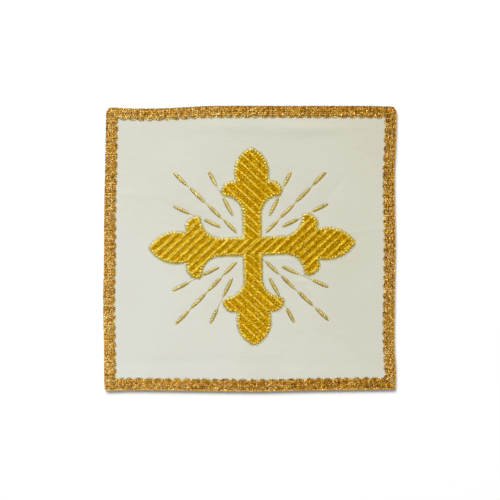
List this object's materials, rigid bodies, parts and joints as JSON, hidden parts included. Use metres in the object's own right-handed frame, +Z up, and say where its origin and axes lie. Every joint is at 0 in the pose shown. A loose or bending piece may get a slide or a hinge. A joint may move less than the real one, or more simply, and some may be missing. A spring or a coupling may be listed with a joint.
{
  "type": "chalice pall",
  "caption": "Stiffened square of cream cloth that covers a chalice, with a gold braid sewn round its edge and an embroidered gold cross with budded arms and rays on its face",
  "frame": {"origin": "on the flat underside, below the middle of the box round the braided edge", "axes": "+Z up out of the embroidered face, +Y to the top arm of the cross, +X to the right with the face seen from above"},
  "size_m": [0.1618, 0.1578, 0.0037],
  "materials": {
    "cream_cloth": "smooth cream cloth, matt",
    "braid_gold": "plaited braid of old-gold metal thread, soft sparkle",
    "embroidery_gold": "yellow-gold metal thread, satin stitch rim and slanting filling",
    "ray_gold": "pale gold metal thread, seed stitches"
  },
  "bodies": {
    "root": {"cloth": "cream_cloth", "braid": "braid_gold", "cross": "embroidery_gold", "ray_back_left_level_1": "ray_gold", "ray_back_left_level_2": "ray_gold", "ray_back_left_middle_1": "ray_gold", "ray_back_left_upright_1": "ray_gold", "ray_back_left_upright_2": "ray_gold", "ray_back_right_level_1": "ray_gold", "ray_back_right_level_2": "ray_gold", "ray_back_right_middle_1": "ray_gold", "ray_back_right_upright_1": "ray_gold", "ray_back_right_upright_2": "ray_gold", "ray_front_left_level_1": "ray_gold", "ray_front_left_level_2": "ray_gold", "ray_front_left_middle_1": "ray_gold", "ray_front_left_upright_1": "ray_gold", "ray_front_left_upright_2": "ray_gold", "ray_front_right_level_1": "ray_gold", "ray_front_right_level_2": "ray_gold", "ray_front_right_middle_1": "ray_gold", "ray_front_right_upright_1": "ray_gold", "ray_front_right_upright_2": "ray_gold"}
  },
  "joints": []
}
